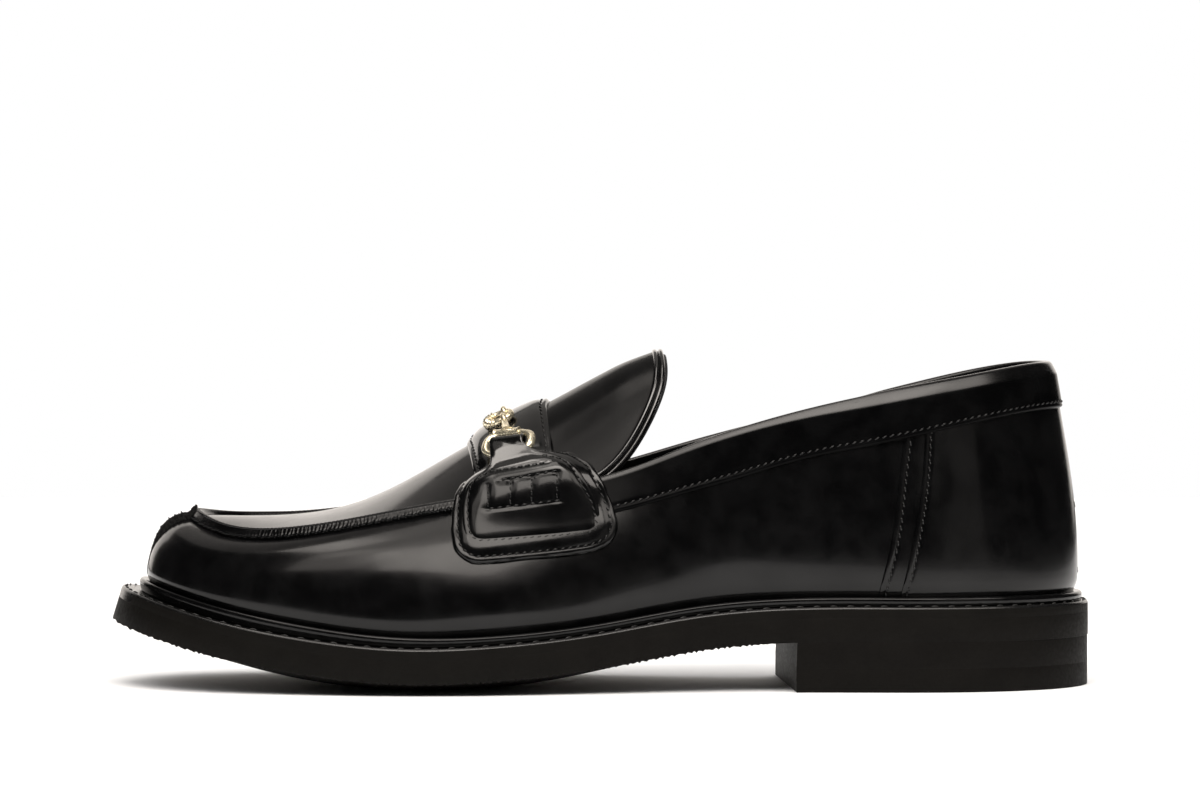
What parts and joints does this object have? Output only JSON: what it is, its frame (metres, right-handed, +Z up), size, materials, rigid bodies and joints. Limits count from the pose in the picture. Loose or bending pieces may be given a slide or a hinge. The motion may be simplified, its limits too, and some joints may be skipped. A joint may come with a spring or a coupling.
{
  "type": "loafer",
  "caption": "Black leather bit loafer for the left foot, with a welted sole, stacked heel, hollow upper with an apron seam, tongue, saddle strap and a gold bit.",
  "frame": {"origin": "on the floor, under the middle of the shoe's box", "axes": "+Z up, -X to the toe, +X to the heel, -Y to the lateral side and +Y to the medial side"},
  "size_m": [0.2977, 0.1065, 0.1042],
  "materials": {
    "black_leather": "polished box leather with a fine grain and a high gloss",
    "lining_leather": "matte lining leather",
    "sole_rubber": "matte black, finely roughened at the edge",
    "pale_gold": "polished pale gold plating"
  },
  "bodies": {
    "root": {"outsole": "sole_rubber", "welt": "sole_rubber", "welt_bead": "black_leather", "heel_stack": "sole_rubber", "heel_top_lift": "sole_rubber", "insole": "lining_leather", "upper": "black_leather", "tongue": "black_leather", "saddle_strap": "black_leather", "tab_lateral": "black_leather", "tab_medial": "black_leather", "bit_link_lateral": "pale_gold", "bit_link_medial": "pale_gold", "bit_ring": "pale_gold"}
  },
  "joints": []
}
